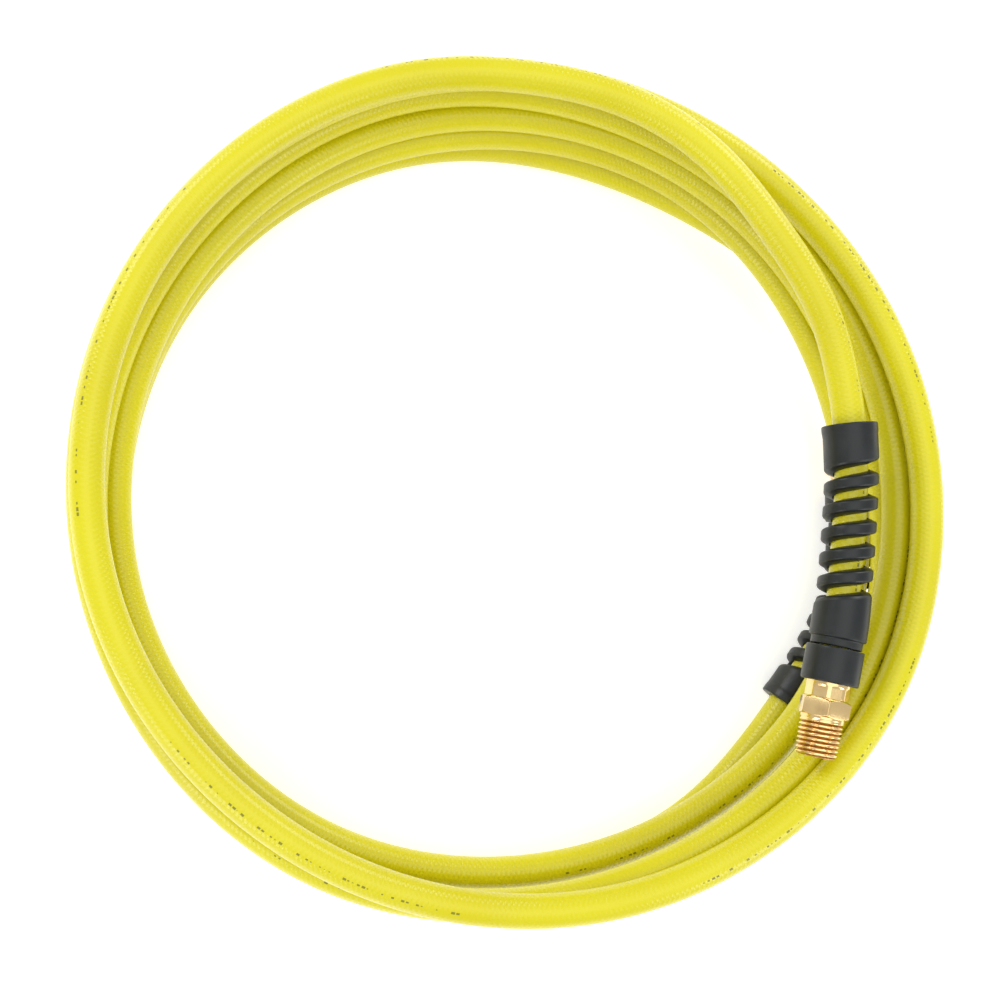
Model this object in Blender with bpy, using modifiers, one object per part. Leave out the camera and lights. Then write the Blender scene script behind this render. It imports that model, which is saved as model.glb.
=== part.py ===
"""A coiled air hose with a male threaded fitting and a helical bend restrictor on each end.

The hose lies in a loose round coil on the floor, about six turns high. The upper end lies on top
of the coil and the lower end lies under it. The frame stands on the floor at the coil's centre,
with +Z up. Each end is drawn straight along its own axis, measured from the thread's tip, and is
then laid along that end's route.
"""
import math

import bmesh
import bpy
import numpy as np
from mathutils import Matrix, Vector

MM = 0.001
GAP = 0.3 * MM  # between pieces that touch
SAME_PLACE = 0.001 * MM  # points this close are one point

# The hose and its wall, from the outside in
HOSE_RADIUS = 5.15 * MM
COVER_INNER = 4.60 * MM
BRAID_OUTER = 4.45 * MM
BRAID_INNER = 4.15 * MM
LINER_OUTER = 4.00 * MM
LINER_INNER = 3.45 * MM

# The coil's outer shape
COIL_INNER = 110.0 * MM
COIL_OUTER = 139.8 * MM
COIL_HEIGHT = 62.4 * MM
COIL_CORNER = 4.0 * MM
COIL_STEPS = 96

# Stations along an end's axis, from the thread's tip
THREAD_END = 12.3 * MM
HEX_END = 17.8 * MM
COLLAR_START = 22.8 * MM
COLLAR_END = 33.7 * MM
RESTRICTOR_START = 34.0 * MM
GROOVE_END = 36.6 * MM
SLEEVE_END = 49.3 * MM
STRAP_FIRST = 47.5 * MM
STRAP_LAST = 92.5 * MM
CUFF_START = 90.5 * MM
LIP_START = 100.4 * MM
RESTRICTOR_END = 103.5 * MM
HOSE_FIRST = 18.4 * MM  # where the hose's wall begins inside the ferrule
STEM_END = 34.5 * MM

# The threaded fitting: a 1/4-18 taper pipe thread and a 9/16 inch hexagon
THREAD_TIP_RADIUS = 6.40 * MM
THREAD_TAPER = 1.0 / 32.0  # growth of the radius along the axis
THREAD_PITCH = 25.4 / 18.0 * MM
THREAD_DEPTH = 0.9 * MM
THREAD_LEAD_IN = 0.15  # of a pitch, from the tip to the first root
CREST_START = 0.4  # of a pitch, from a root to its crest
CREST_END = 0.6
THREAD_RUN_OUT = 0.3 * THREAD_PITCH
HEX_ACROSS_FLATS = 14.29 * MM
HEX_TURN = math.radians(-13)
HEX_OVERLAP = 0.5 * MM  # how far the turned body runs on inside the hexagon
BORE_RADIUS = 2.4 * MM
STEM_RADIUS = 2.95 * MM
BARB_RADIUS = 3.15 * MM
BARB_COUNT = 3
BARB_TOP = 0.4  # of a barb's pitch, from the stem's end or the barb before it
BARB_LENGTH = 0.5
BARB_STEP = 0.02

# The crimped ferrule and the rubber pieces
FERRULE_SIDES = 8
FERRULE_CORNER = 6.95 * MM
FERRULE_BORE = HOSE_RADIUS + GAP
COLLAR_RADIUS = 8.9 * MM
COLLAR_BORE = FERRULE_CORNER + GAP
GROOVE_RADIUS = 8.3 * MM
SLEEVE_RADIUS = 8.8 * MM
CUFF_RADIUS = 8.45 * MM
LIP_RADIUS = 8.65 * MM
RESTRICTOR_BORE = HOSE_RADIUS + 0.4 * MM
STRAP_INNER = RESTRICTOR_BORE + 0.15 * MM
STRAP_OUTER = 8.35 * MM
STRAP_BASE = 5.2 * MM
STRAP_TOP = 3.3 * MM
STRAP_PITCH = 7.4 * MM
STRAP_STEPS = 24  # to a turn
STRAP_PHASES = {"upper": math.radians(53), "lower": math.radians(71)}

# Points that each end follows, from the thread's tip to where the hose joins the coil
UPPER_ROUTE = [
    (86.9, -83.6, 60.0), (94.5, -48.0, 60.0), (98.4, -19.0, 60.0), (99.9, 0.0, 60.0),
    (99.6, 19.0, 60.0), (97.2, 36.0, 60.0), (92.2, 53.3, 60.0), (76.5, 79.5, 59.8),
    (58.4, 101.2, 59.4), (31.0, 118.5, 58.4), (0.0, 125.2, 57.8),
]
LOWER_ROUTE = [
    (121.0, 24.9, 8.95), (121.2, -11.7, 8.95), (120.4, -22.5, 8.95), (117.4, -35.0, 8.95),
    (111.7, -48.2, 8.95), (103.6, -60.8, 8.9), (95.0, -72.6, 8.5), (80.5, -91.5, 6.6),
    (62.8, -108.3, 5.5),
]
FINE_STEP = 5.0 * MM  # between the hose's points inside a restrictor
COARSE_STEP = 22.0 * MM  # and beyond it
CHANNEL_ROOM = 0.6 * MM  # between the coil and an end that lies in it
TIP_ROOM = 14.0 * MM  # open in front of a thread, where its mating fitting starts
CHANNEL_STEP = 6.0 * MM
LOWER_CHANNEL_FLOOR = -3.0 * MM  # cut from below the floor
UPPER_CHANNEL_TOP = 75.0 * MM  # cut from above the coil

ROUND_STEPS = 32
STATION_PITCH = 4.0 * MM  # between the rings of a piece that bends
SMOOTH_ANGLE = math.radians(35)


class Route:
    """A straight axis, then a smooth curve through the route's other points."""

    def __init__(self, points):
        nodes = np.array(points) * MM
        across = np.linalg.norm(np.diff(nodes, axis=0), axis=1)
        self.knots = np.concatenate([[0.0], np.cumsum(across)])
        self.nodes = nodes
        self.slopes = self.natural_slopes()
        fine = np.linspace(0.0, self.knots[-1], 4000)
        self.line = np.array([self.at_knot(u) for u in fine])
        steps = np.linalg.norm(np.diff(self.line, axis=0), axis=1)
        self.along = np.concatenate([[0.0], np.cumsum(steps)])
        self.length = self.along[-1]

    def natural_slopes(self):
        """Slopes at the points of the curve that keep its bending smooth."""
        gaps = np.diff(self.knots)
        chords = np.diff(self.nodes, axis=0) / gaps[:, None]
        count = len(self.nodes)
        rule = np.zeros((count, count))
        aim = np.zeros((count, 3))
        rule[0, 0] = rule[1, 1] = 1.0  # the first stretch is straight
        aim[0] = aim[1] = chords[0]
        for i in range(2, count - 1):
            before, after = gaps[i - 1], gaps[i]
            rule[i, i - 1: i + 2] = after, 2 * (before + after), before
            aim[i] = 3 * (after * chords[i - 1] + before * chords[i])
        rule[-1, -2:] = 1.0, 2.0
        aim[-1] = 3 * chords[-1]
        return np.linalg.solve(rule, aim)

    def at_knot(self, u):
        i = min(max(int(np.searchsorted(self.knots, u, side="right")) - 1, 0), len(self.knots) - 2)
        gap = self.knots[i + 1] - self.knots[i]
        t = (u - self.knots[i]) / gap
        start, end = self.nodes[i], self.nodes[i + 1]
        leave, arrive = self.slopes[i] * gap, self.slopes[i + 1] * gap
        return (
            (2 * t**3 - 3 * t**2 + 1) * start + (t**3 - 2 * t**2 + t) * leave
            + (3 * t**2 - 2 * t**3) * end + (t**3 - t**2) * arrive
        )

    def point(self, distance):
        """The place at a distance along the route, which runs on straight past both its ends."""
        inside = min(max(distance, 0.0), self.length)
        place = np.array([np.interp(inside, self.along, self.line[:, k]) for k in range(3)])
        return Vector(place + (distance - inside) * self.heading(inside))

    def heading(self, distance):
        near = min(max(distance, 0.0), self.length)
        i = min(max(int(np.searchsorted(self.along, near)), 1), len(self.along) - 1)
        step = self.line[i] - self.line[i - 1]
        return step / np.linalg.norm(step)

    def frame(self, distance):
        """Place, sideways and upward directions, and the direction away from the tip."""
        ahead = Vector(self.heading(distance))
        side = Vector((0.0, 0.0, 1.0)).cross(ahead).normalized()
        return self.point(distance), side, ahead.cross(side), ahead

    def matrix(self):
        """The placement of a rigid piece that is drawn along +Z from the tip."""
        place, side, up, ahead = self.frame(0.0)
        turn = Matrix((side, up, ahead)).transposed().to_4x4()
        return Matrix.Translation(place) @ turn


def clear_scene():
    for old in list(bpy.data.objects):
        bpy.data.objects.remove(old)


def new_collection(name):
    group = bpy.data.collections.new(name)
    bpy.context.scene.collection.children.link(group)
    return group


def add_object(name, mesh, group, finish=None):
    piece = bpy.data.objects.new(name, mesh)
    group.objects.link(piece)
    if finish:
        mesh.materials.append(finish)
    return piece


def make_cutter(piece):
    piece.hide_render = True
    piece.display_type = "WIRE"
    return piece


def add_finish(name, colour, roughness, metallic):
    finish = bpy.data.materials.new(name)
    finish.use_nodes = True
    shader = finish.node_tree.nodes["Principled BSDF"]
    shader.inputs["Base Color"].default_value = (*colour, 1.0)
    shader.inputs["Roughness"].default_value = roughness
    shader.inputs["Metallic"].default_value = metallic
    return finish


def cut_or_join(piece, other, operation):
    boolean = piece.modifiers.new(f"{operation.lower()} {other.name}", "BOOLEAN")
    boolean.operation = operation
    boolean.object = other


def turned(name, profile, group, finish=None, steps=ROUND_STEPS):
    """A closed profile of (radius, height) points turned round Z, its outer side running down."""
    outline = bpy.data.meshes.new(name)
    count = len(profile)
    edges = [(i, (i + 1) % count) for i in range(count)]
    outline.from_pydata([(r, 0.0, z) for r, z in profile], edges, [])
    piece = add_object(name, outline, group, finish)
    screw = piece.modifiers.new("turn", "SCREW")
    screw.axis = "Z"
    screw.steps = screw.render_steps = steps
    screw.use_merge_vertices = True
    screw.merge_threshold = SAME_PLACE
    return piece


def prism(name, radius, low, high, sides, group, turn=0.0):
    """A solid prism or rod along Z between two heights."""
    mesh = bpy.data.meshes.new(name)
    body = bmesh.new()
    bmesh.ops.create_cone(
        body, cap_ends=True, segments=sides, radius1=radius, radius2=radius, depth=high - low
    )
    bmesh.ops.rotate(body, verts=body.verts, matrix=Matrix.Rotation(turn, 3, "Z"))
    bmesh.ops.translate(body, verts=body.verts, vec=(0.0, 0.0, (low + high) / 2))
    body.to_mesh(mesh)
    body.free()
    return add_object(name, mesh, group)


def sweep(name, section, frames, group):
    """A closed section of (side, up) points carried through a list of frames, with flat ends."""
    mesh = bpy.data.meshes.new(name)
    body = bmesh.new()
    rings = [[body.verts.new(p + s * a + u * b) for a, b in section] for p, s, u, _ in frames]
    count = len(section)
    for ring, after in zip(rings, rings[1:]):
        for i in range(count):
            j = (i + 1) % count
            body.faces.new((ring[i], ring[j], after[j], after[i]))
    body.faces.new(rings[0][::-1])
    body.faces.new(rings[-1])
    bmesh.ops.recalc_face_normals(body, faces=body.faces)
    body.to_mesh(mesh)
    body.free()
    return add_object(name, mesh, group)


def as_plain_mesh(piece):
    """The piece with its modifiers applied and its coincident points merged."""
    source = piece.evaluated_get(bpy.context.evaluated_depsgraph_get())
    mesh = bpy.data.meshes.new_from_object(source)
    body = bmesh.new()
    body.from_mesh(mesh)
    bmesh.ops.remove_doubles(body, verts=body.verts, dist=SAME_PLACE)
    body.to_mesh(mesh)
    body.free()
    piece.modifiers.clear()
    piece.data = mesh
    return piece


def lay_along(piece, route):
    """Bend a piece that is drawn along +Z onto an end's route."""
    for vertex in piece.data.vertices:
        place, side, up, _ = route.frame(vertex.co.z)
        vertex.co = place + side * vertex.co.x + up * vertex.co.y


def smooth(piece):
    piece.data.shade_smooth()
    piece.data.set_sharp_from_angle(angle=SMOOTH_ANGLE)


def make_coil(parts, finish, channels):
    """The coil's outer shape, with a channel for each end that lies in it."""
    mid = (COIL_INNER + COIL_OUTER) / 2
    profile = [
        (mid, COIL_HEIGHT), (COIL_OUTER - COIL_CORNER, COIL_HEIGHT),
        (COIL_OUTER, COIL_HEIGHT - COIL_CORNER), (COIL_OUTER, COIL_CORNER),
        (COIL_OUTER - COIL_CORNER, 0.0), (COIL_INNER + COIL_CORNER, 0.0),
        (COIL_INNER, COIL_CORNER), (COIL_INNER, COIL_HEIGHT - COIL_CORNER),
        (COIL_INNER + COIL_CORNER, COIL_HEIGHT),
    ]
    coil = turned("hose_coil", profile, parts, finish, COIL_STEPS)
    for channel in channels:
        cut_or_join(coil, channel, "DIFFERENCE")


def channel_pair(name, route, low, high, cutters):
    """Upright-walled channels round an end's fitting and restrictor, and round its hose."""
    wide, narrow = COLLAR_RADIUS + CHANNEL_ROOM, HOSE_RADIUS + 2 * CHANNEL_ROOM
    stretches = (
        ("fitting", wide, -TIP_ROOM, RESTRICTOR_END + CHANNEL_ROOM),
        ("hose", narrow, RESTRICTOR_END, route.length + GAP),
    )
    pair = []
    for label, half, first, last in stretches:
        frames = []
        for distance in np.linspace(first, last, round((last - first) / CHANNEL_STEP)):
            place, side, _, ahead = route.frame(distance)
            frames.append((place, side, Vector((0.0, 0.0, 1.0)), ahead))
        section = [(-half, low(half)), (half, low(half)), (half, high(half)), (-half, high(half))]
        pair.append(make_cutter(sweep(f"{name}_{label}_channel", section, frames, cutters)))
    return pair


def make_hose_tail(name, route, parts, finish):
    """The hose from inside its restrictor to the coil."""
    fine_end = RESTRICTOR_END + 2 * FINE_STEP
    fine = np.linspace(GROOVE_END, fine_end, round((fine_end - GROOVE_END) / FINE_STEP))
    beyond = route.length - fine_end
    coarse = np.linspace(fine_end, route.length, max(2, round(beyond / COARSE_STEP) + 1))[1:]
    curve = bpy.data.curves.new(name, "CURVE")
    curve.dimensions = "3D"
    curve.bevel_depth = HOSE_RADIUS
    curve.bevel_resolution = 4
    curve.use_fill_caps = True
    line = curve.splines.new("POLY")
    distances = [*fine, *coarse]
    line.points.add(len(distances) - 1)
    for point, distance in zip(line.points, distances):
        point.co = (*route.point(distance), 1.0)
    curve.materials.append(finish)
    tail = bpy.data.objects.new(name, curve)
    parts.objects.link(tail)


def thread_profile():
    """The outer side of the taper thread, from its root end down to the tip."""
    points = [(THREAD_TIP_RADIUS - THREAD_DEPTH, 0.0)]
    for i in range(int(THREAD_END / THREAD_PITCH)):
        root = (i + THREAD_LEAD_IN) * THREAD_PITCH
        radius = THREAD_TIP_RADIUS + THREAD_TAPER * root
        points.append((radius - THREAD_DEPTH, root))
        points.append((radius, root + CREST_START * THREAD_PITCH))
        points.append((radius, root + CREST_END * THREAD_PITCH))
    points.append((THREAD_TIP_RADIUS - THREAD_DEPTH, THREAD_END - THREAD_RUN_OUT))
    return points[::-1]


def barb_profile():
    """The outer side of the barbed stem, from its end down to the hexagon."""
    pitch = (STEM_END - HEX_END) / (BARB_COUNT + 1)
    points = [(STEM_RADIUS, STEM_END)]
    for i in range(BARB_COUNT):
        top = STEM_END - (i + BARB_TOP) * pitch
        foot = top - BARB_LENGTH * pitch
        points += [(STEM_RADIUS, top), (BARB_RADIUS, foot), (STEM_RADIUS, foot - BARB_STEP * pitch)]
    points.append((STEM_RADIUS, HEX_END - HEX_OVERLAP))
    return points


def make_fitting(end, route, parts, cutters, finish):
    """The male threaded fitting: thread, hexagon and barbed stem round one through bore."""
    neck = (THREAD_TIP_RADIUS - THREAD_DEPTH, HEX_END - HEX_OVERLAP)
    pilot = BORE_RADIUS / 2  # the bore's cutter opens it to its full size
    profile = [*barb_profile(), neck, *thread_profile(), (pilot, 0.0), (pilot, STEM_END)]
    fitting = turned(f"{end}_threaded_fitting", profile, parts, finish)
    corner = HEX_ACROSS_FLATS / math.sqrt(3.0)
    nut = prism(f"{end}_hexagon", corner, THREAD_END, HEX_END, 6, cutters, HEX_TURN)
    bore = prism(f"{end}_bore", BORE_RADIUS, -MM, STEM_END + MM, 24, cutters)
    for cutter, operation in ((nut, "UNION"), (bore, "DIFFERENCE")):
        make_cutter(cutter)
        cutter.matrix_world = route.matrix()
        cut_or_join(fitting, cutter, operation)
    fitting.matrix_world = route.matrix()


def make_ferrule(end, route, parts, cutters, finish):
    """The brass ferrule, whose eight flats are left by the crimping jaws."""
    turn = math.pi / FERRULE_SIDES
    first = HEX_END + GAP
    ferrule = prism(
        f"{end}_crimp_ferrule", FERRULE_CORNER, first, COLLAR_END, FERRULE_SIDES, parts, turn
    )
    ferrule.data.materials.append(finish)
    bore = prism(f"{end}_ferrule_bore", FERRULE_BORE, first - MM, COLLAR_END + MM, 32, cutters)
    make_cutter(bore)
    for piece in (ferrule, bore):
        piece.matrix_world = route.matrix()
    cut_or_join(ferrule, bore, "DIFFERENCE")


def make_sleeve(name, outer, inner, first, last, route, parts, finish):
    """A plain round tube between two stations."""
    profile = [(outer, last), (outer, first), (inner, first), (inner, last)]
    sleeve = turned(name, profile, parts, finish)
    sleeve.matrix_world = route.matrix()


def make_grip_collar(end, route, parts, finish):
    """The separate rubber collar over the ferrule, with eased edges."""
    ease = 0.6 * MM
    profile = [
        (COLLAR_RADIUS - ease, COLLAR_END), (COLLAR_RADIUS, COLLAR_END - ease),
        (COLLAR_RADIUS, COLLAR_START + ease), (COLLAR_RADIUS - ease, COLLAR_START),
        (COLLAR_BORE, COLLAR_START), (COLLAR_BORE, COLLAR_END),
    ]
    collar = turned(f"{end}_grip_collar", profile, parts, finish)
    collar.matrix_world = route.matrix()


def tube_stations(first, last):
    return np.linspace(first, last, max(2, round((last - first) / STATION_PITCH) + 1))


def make_bend_restrictor(end, route, parts, cutters, finish):
    """The moulded restrictor: a sleeve, a right-handed helical strap and a lipped cuff."""
    name = f"{end}_bend_restrictor"
    outer = [(SLEEVE_RADIUS, z) for z in tube_stations(GROOVE_END, SLEEVE_END)][::-1]
    outer += [(GROOVE_RADIUS, GROOVE_END), (GROOVE_RADIUS, RESTRICTOR_START)]
    inner = [(RESTRICTOR_BORE, z) for z in tube_stations(RESTRICTOR_START, SLEEVE_END)]
    restrictor = turned(name, outer + inner, parts, finish)

    outer = [(LIP_RADIUS, RESTRICTOR_END), (LIP_RADIUS, LIP_START)]
    outer += [(CUFF_RADIUS, z) for z in tube_stations(CUFF_START, LIP_START)][::-1]
    inner = [(RESTRICTOR_BORE, z) for z in tube_stations(CUFF_START, RESTRICTOR_END)]
    cuff = make_cutter(turned(f"{end}_cuff", outer + inner, cutters))

    section = [
        (STRAP_INNER, -STRAP_BASE / 2), (STRAP_OUTER, -STRAP_TOP / 2),
        (STRAP_OUTER, STRAP_TOP / 2), (STRAP_INNER, STRAP_BASE / 2),
    ]
    turns = (STRAP_LAST - STRAP_FIRST) / STRAP_PITCH
    frames = []
    for z in np.linspace(STRAP_FIRST, STRAP_LAST, round(turns * STRAP_STEPS)):
        angle = STRAP_PHASES[end] + math.tau * (z - STRAP_FIRST) / STRAP_PITCH
        out = Vector((math.cos(angle), math.sin(angle), 0.0))
        frames.append((Vector((0.0, 0.0, z)), out, Vector((0.0, 0.0, 1.0)), None))
    strap = make_cutter(sweep(f"{end}_strap", section, frames, cutters))

    cut_or_join(restrictor, strap, "UNION")
    cut_or_join(restrictor, cuff, "UNION")
    as_plain_mesh(restrictor)
    lay_along(restrictor, route)
    smooth(restrictor)


def make_end(end, route, parts, cutters, finishes):
    """All the pieces of one end of the hose."""
    rubber, brass = finishes["black_rubber"], finishes["brass"]
    make_fitting(end, route, parts, cutters, brass)
    make_ferrule(end, route, parts, cutters, brass)
    make_grip_collar(end, route, parts, rubber)
    make_bend_restrictor(end, route, parts, cutters, rubber)
    layers = (
        ("hose_cover_end", HOSE_RADIUS, COVER_INNER, finishes["hose_cover"]),
        ("hose_braid_end", BRAID_OUTER, BRAID_INNER, finishes["braid_yarn"]),
        ("hose_liner_end", LINER_OUTER, LINER_INNER, finishes["hose_liner"]),
    )
    for label, outer, inner, finish in layers:
        last = GROOVE_END - GAP
        make_sleeve(f"{end}_{label}", outer, inner, HOSE_FIRST, last, route, parts, finish)
    make_hose_tail(f"{end}_hose_tail", route, parts, finishes["hose_cover"])


def main():
    clear_scene()
    parts = new_collection("coiled_air_hose")
    cutters = new_collection("cutters")
    finishes = {
        "hose_cover": add_finish("hose_cover", (0.78, 0.74, 0.05), 0.32, 0.0),
        "braid_yarn": add_finish("braid_yarn", (0.80, 0.80, 0.76), 0.85, 0.0),
        "hose_liner": add_finish("hose_liner", (0.05, 0.05, 0.05), 0.50, 0.0),
        "black_rubber": add_finish("black_rubber", (0.045, 0.050, 0.055), 0.45, 0.0),
        "brass": add_finish("brass", (0.74, 0.55, 0.25), 0.28, 1.0),
    }
    upper, lower = Route(UPPER_ROUTE), Route(LOWER_ROUTE)
    upper_height, lower_height = UPPER_ROUTE[0][2] * MM, LOWER_ROUTE[0][2] * MM
    channels = channel_pair(
        "upper", upper, lambda half: -half, lambda half: UPPER_CHANNEL_TOP - upper_height, cutters
    )
    channels += channel_pair(
        "lower", lower, lambda half: LOWER_CHANNEL_FLOOR - lower_height, lambda half: half, cutters
    )
    make_coil(parts, finishes["hose_cover"], channels)
    make_end("upper", upper, parts, cutters, finishes)
    make_end("lower", lower, parts, cutters, finishes)


if __name__ == "__main__":
    main()
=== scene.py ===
"""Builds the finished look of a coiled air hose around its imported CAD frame.

The hose is one run from fitting to fitting: it leaves the upper fitting, winds down a loose coil
and ends in the lower fitting. The pieces of each end are drawn straight along +Z, measured from
the thread's tip, and are then laid along the same run.
"""

import math

import bmesh
import bpy
import numpy as np
from mathutils import Matrix, Vector


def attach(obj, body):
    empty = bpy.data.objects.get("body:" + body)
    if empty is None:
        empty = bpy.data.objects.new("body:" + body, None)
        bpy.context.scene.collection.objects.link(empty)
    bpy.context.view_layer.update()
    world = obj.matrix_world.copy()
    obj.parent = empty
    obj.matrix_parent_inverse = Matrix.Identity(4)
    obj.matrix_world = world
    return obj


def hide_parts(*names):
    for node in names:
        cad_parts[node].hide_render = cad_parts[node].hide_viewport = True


bl_info = {
    "name": "Coiled Air Hose",
    "version": (1, 0, 0),
    "blender": (4, 5, 0),
    "location": "View3D > Sidebar > Air Hose",
    "description": "Builds a coiled air hose with threaded ends on a white studio floor",
    "category": "Add Mesh",
}

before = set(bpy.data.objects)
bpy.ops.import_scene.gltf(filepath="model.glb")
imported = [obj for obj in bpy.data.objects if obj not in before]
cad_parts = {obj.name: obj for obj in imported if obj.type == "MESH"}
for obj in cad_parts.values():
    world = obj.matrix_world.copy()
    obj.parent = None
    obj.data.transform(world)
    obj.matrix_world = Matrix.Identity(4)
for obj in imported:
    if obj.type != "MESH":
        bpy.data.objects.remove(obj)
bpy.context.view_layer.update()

MM = 0.001
TURN = math.tau
ENDS = ("upper", "lower")
TIP_RADIUS = 6.4 * MM  # of the taper thread at its tip
TAPER = 1 / 32  # the thread's radius grows by this for each unit along it

# Points from each thread's tip to where the hose joins the coil, in mm
UPPER_ROUTE = [
    (86.9, -83.6, 60.0), (94.5, -48.0, 60.0), (98.4, -19.0, 60.0), (99.9, 0.0, 60.0),
    (99.6, 19.0, 60.0), (97.2, 36.0, 60.0), (92.2, 53.3, 60.0), (76.5, 79.5, 59.8),
    (58.4, 101.2, 59.4), (31.0, 118.5, 58.4), (0.0, 125.2, 57.8),
]
LOWER_ROUTE = [
    (121.0, 24.9, 8.95), (121.2, -11.7, 8.95), (120.4, -22.5, 8.95), (117.4, -35.0, 8.95),
    (111.7, -48.2, 8.95), (103.6, -60.8, 8.9), (95.0, -72.6, 8.5), (80.5, -91.5, 6.6),
    (62.8, -108.3, 5.5),
]

# The loose coil: how far from its middle each turn lies at every eighth of a turn, in mm
TURN_RADII = [
    (None, None, 128.5, 131.5, 130.5, 127.5, 129.0, 131.0),
    (127.0, 126.5, 131.5, 134.0, 133.5, 132.6, 126.3, 124.5),
    (122.3, 123.5, 130.5, 131.5, 134.0, 132.5, 131.0, 129.8),
    (119.5, 121.5, 125.5, 126.5, 128.0, 126.5, 121.4, 120.6),
    (115.5, 120.0, 122.5, 126.5, 130.5, 129.5, 126.5, 132.0),
    (132.5, 119.5, 122.5, 127.5, 132.0, 131.0, None, None),
]
FIRST_STATION = 15.0  # degrees, where a turn's first radius is read
TOP_HEIGHT = 57.2  # mm, of the uppermost turn's middle
TURN_DROP = 10.4  # mm from one turn down to the next
DROP_START = 288.0  # degrees round the coil, where a turn starts down to the next
DROP_SWEEP = 180.0
FLOOR_TURN = 5.25  # mm, the middle of a turn that lies on the floor
LEAST_HEIGHT = 5.18  # mm, just over the hose's radius
# Where a turn dips under the upper fitting or climbs over the lower one: middle, half width, rise
DIPS = (
    (322.0, 60.0, -3.0),
    (322.0 + 360.0, 60.0, -0.7),
    (2.0 + 5 * 360.0, 52.0, 6.6),
)


# ---------------------------------------------------------------- the run of the hose


def coil_height(angle):
    """Height of the hose's middle at an angle counted on from the first turn, in mm."""
    dropped, into = divmod(angle - DROP_START, 360.0)
    part = min(into / DROP_SWEEP, 1.0)
    drop = max(0.0, dropped + part * part * (3 - 2 * part))
    height = TOP_HEIGHT - TURN_DROP * drop
    for middle, half, rise in DIPS:
        off = (angle - middle) / half
        if abs(off) < 1:
            height += rise * (1 - off * off) ** 2
    return max(height, FLOOR_TURN)


def coil_points():
    """The points of the coil's turns, worked out from each turn's radii."""
    points = []
    for turn, radii in enumerate(TURN_RADII):
        for eighth, radius in enumerate(radii):
            if radius is not None:
                angle = 360.0 * turn + FIRST_STATION + 45.0 * eighth
                round_it = math.radians(angle)
                across, along = radius * math.cos(round_it), radius * math.sin(round_it)
                points.append((across, along, coil_height(angle)))
    return points


class Path:
    """A smooth line through a list of points, straight in its first and its last stretch."""

    SAMPLE = 0.5 * MM

    def __init__(self, points):
        self.nodes = np.array(points) * MM
        gaps = np.linalg.norm(np.diff(self.nodes, axis=0), axis=1)
        self.knots = np.concatenate([[0.0], np.cumsum(gaps)])
        slopes = self.smooth_slopes(gaps)
        u = np.linspace(0.0, self.knots[-1], int(self.knots[-1] / self.SAMPLE))
        i = np.clip(np.searchsorted(self.knots, u, side="right") - 1, 0, len(gaps) - 1)
        gap = gaps[i][:, None]
        t = (u - self.knots[i])[:, None] / gap
        self.line = (
            (2 * t**3 - 3 * t**2 + 1) * self.nodes[i] + (t**3 - 2 * t**2 + t) * slopes[i] * gap
            + (3 * t**2 - 2 * t**3) * self.nodes[i + 1] + (t**3 - t**2) * slopes[i + 1] * gap
        )
        self.line[:, 2] = np.maximum(self.line[:, 2], LEAST_HEIGHT * MM)
        steps = np.linalg.norm(np.diff(self.line, axis=0), axis=1)
        self.along = np.concatenate([[0.0], np.cumsum(steps)])
        self.length = self.along[-1]
        ahead = np.gradient(self.line, self.along, axis=0)
        self.ahead = ahead / np.linalg.norm(ahead, axis=1)[:, None]

    def smooth_slopes(self, gaps):
        """Slopes at the points that keep the bending smooth between the straight stretches."""
        chords = np.diff(self.nodes, axis=0) / gaps[:, None]
        count = len(self.nodes)
        rule, aim = np.zeros((count, count)), np.zeros((count, 3))
        for i, chord in ((0, 0), (1, 0), (count - 2, -1), (count - 1, -1)):
            rule[i, i] = 1.0
            aim[i] = chords[chord]
        for i in range(2, count - 2):
            before, after = gaps[i - 1], gaps[i]
            rule[i, i - 1: i + 2] = after, 2 * (before + after), before
            aim[i] = 3 * (after * chords[i - 1] + before * chords[i])
        return np.linalg.solve(rule, aim)

    def frames(self, distances):
        """Places, sideways, upward and forward directions at distances along the path."""
        distances = np.asarray(distances, float)
        inside = np.clip(distances, 0.0, self.length)
        place, ahead = (
            np.stack([np.interp(inside, self.along, table[:, k]) for k in range(3)], axis=-1)
            for table in (self.line, self.ahead)
        )
        ahead /= np.linalg.norm(ahead, axis=-1, keepdims=True)
        place = place + (distances - inside)[..., None] * ahead
        side = np.cross((0.0, 0.0, 1.0), ahead)
        side /= np.linalg.norm(side, axis=-1, keepdims=True)
        return place, side, np.cross(ahead, side), ahead


RUN_POINTS = UPPER_ROUTE + coil_points() + LOWER_ROUTE[::-1]
RUNS = {"upper": Path(RUN_POINTS), "lower": Path(RUN_POINTS[::-1])}


# ---------------------------------------------------------------- nodes written as expressions


class Value:
    """A node's output that takes part in Python expressions, each adding its Math node."""

    def __init__(self, graph, socket):
        self.graph, self.socket = graph, socket

    def __add__(self, other):
        return self.graph.math("ADD", self, other)

    def __sub__(self, other):
        return self.graph.math("SUBTRACT", self, other)

    def __rsub__(self, other):
        return self.graph.math("SUBTRACT", other, self)

    def __mul__(self, other):
        return self.graph.math("MULTIPLY", self, other)

    def __truediv__(self, other):
        return self.graph.math("DIVIDE", self, other)

    def __rtruediv__(self, other):
        return self.graph.math("DIVIDE", other, self)

    def __mod__(self, other):
        return self.graph.math("FLOORED_MODULO", self, other)

    def __lt__(self, other):
        return self.graph.math("LESS_THAN", self, other)

    def __gt__(self, other):
        return self.graph.math("GREATER_THAN", self, other)

    def __abs__(self):
        return self.graph.math("ABSOLUTE", self)

    __radd__ = __add__
    __rmul__ = __mul__


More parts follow.
